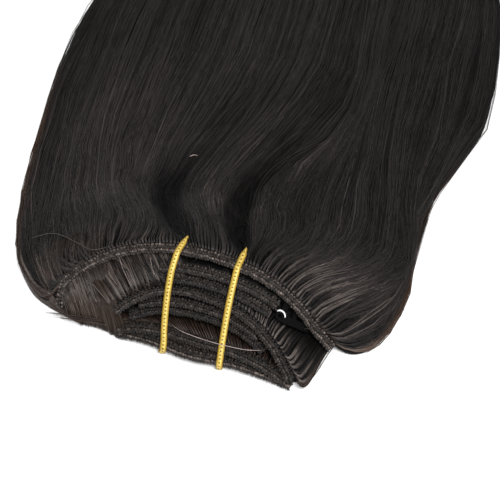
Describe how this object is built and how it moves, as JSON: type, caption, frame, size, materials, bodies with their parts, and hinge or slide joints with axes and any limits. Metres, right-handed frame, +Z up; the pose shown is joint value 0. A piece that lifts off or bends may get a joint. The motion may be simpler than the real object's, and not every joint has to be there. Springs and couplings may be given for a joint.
{
  "type": "clip in hair extension",
  "caption": "sheaf of clip-in hair wefts laid flat, dark straight hair fanning from stacked sewn headers that two flat twist ties hold together",
  "frame": {"origin": "on the resting plane, under the crown of the top weft's header", "axes": "+Y along the hair from headers to tips, +X to the right as seen from the header end, +Z up"},
  "size_m": [0.2754, 0.4575, 0.0376],
  "materials": {
    "hair": "near-black brown human hair, soft sheen along the strands",
    "header": "machine-sewn knotted band in the hair's colour",
    "clip": "black coated spring steel",
    "tie": "golden foil film over a wire core"
  },
  "bodies": {
    "root": {"clip_1_left": "clip", "clip_1_right": "clip", "clip_2_left": "clip", "clip_2_right": "clip", "clip_3": "clip", "clip_4": "clip", "clip_5_left": "clip", "clip_5_right": "clip", "clip_6": "clip", "clip_7": "clip", "clip_8_left": "clip", "clip_8_right": "clip", "hair_1": "hair", "hair_2": "hair", "hair_3": "hair", "hair_4": "hair", "hair_5": "hair", "hair_6": "hair", "hair_7": "hair", "hair_8": "hair", "header_1": "header", "header_2": "header", "header_3": "header", "header_4": "header", "header_5": "header", "header_6": "header", "header_7": "header", "header_8": "header", "tie_left": "tie", "tie_right": "tie"}
  },
  "joints": []
}
